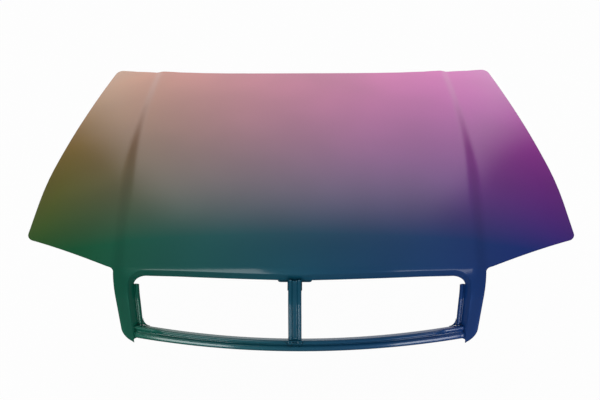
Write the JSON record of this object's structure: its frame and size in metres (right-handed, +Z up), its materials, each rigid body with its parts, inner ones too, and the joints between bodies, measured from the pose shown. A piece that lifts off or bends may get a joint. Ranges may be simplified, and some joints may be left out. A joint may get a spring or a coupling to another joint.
{
  "type": "car bonnet",
  "caption": "Pressed car bonnet with a hemmed skin, two soft creases, an inner frame and a framed grille opening in its down-turned nose.",
  "frame": {"origin": "middle of the latch striker's seat, on the underside of the latch reinforcement, in the centre plane of the bonnet", "axes": "+X across the car to the right of the picture, +Y to the windscreen end, +Z up, in the closed attitude on the car"},
  "size_m": [1.396, 1.0846, 0.3502],
  "materials": {
    "candy_paint": "glossy tinted metallic paint that fades in colour from corner to corner",
    "inner_paint": "satin paint, same colours, on the hidden inner sheets",
    "zinc_nut": "zinc-plated weld nuts",
    "mastic": "matt dark mastic"
  },
  "bodies": {
    "root": {"outer_skin": "candy_paint", "inner_frame": "inner_paint", "grille_lower_rail": "candy_paint", "centre_strut": "candy_paint", "strut_bracket": "candy_paint", "latch_reinforcement": "candy_paint", "grille_upright_left": "candy_paint", "grille_upright_right": "candy_paint", "corner_gusset_left": "candy_paint", "corner_gusset_right": "candy_paint", "hinge_reinforcement_left": "inner_paint", "hinge_reinforcement_right": "inner_paint", "mastic_pad_left_1": "mastic", "mastic_pad_left_2": "mastic", "mastic_pad_left_3": "mastic", "mastic_pad_left_4": "mastic", "mastic_pad_left_5": "mastic", "mastic_pad_left_6": "mastic", "mastic_pad_right_1": "mastic", "mastic_pad_right_2": "mastic", "mastic_pad_right_3": "mastic", "mastic_pad_right_4": "mastic", "mastic_pad_right_5": "mastic", "mastic_pad_right_6": "mastic", "hinge_nut_left_rear": "zinc_nut", "hinge_nut_left_front": "zinc_nut", "hinge_nut_right_rear": "zinc_nut", "hinge_nut_right_front": "zinc_nut", "latch_nut_left": "zinc_nut", "latch_nut_right": "zinc_nut"}
  },
  "joints": []
}
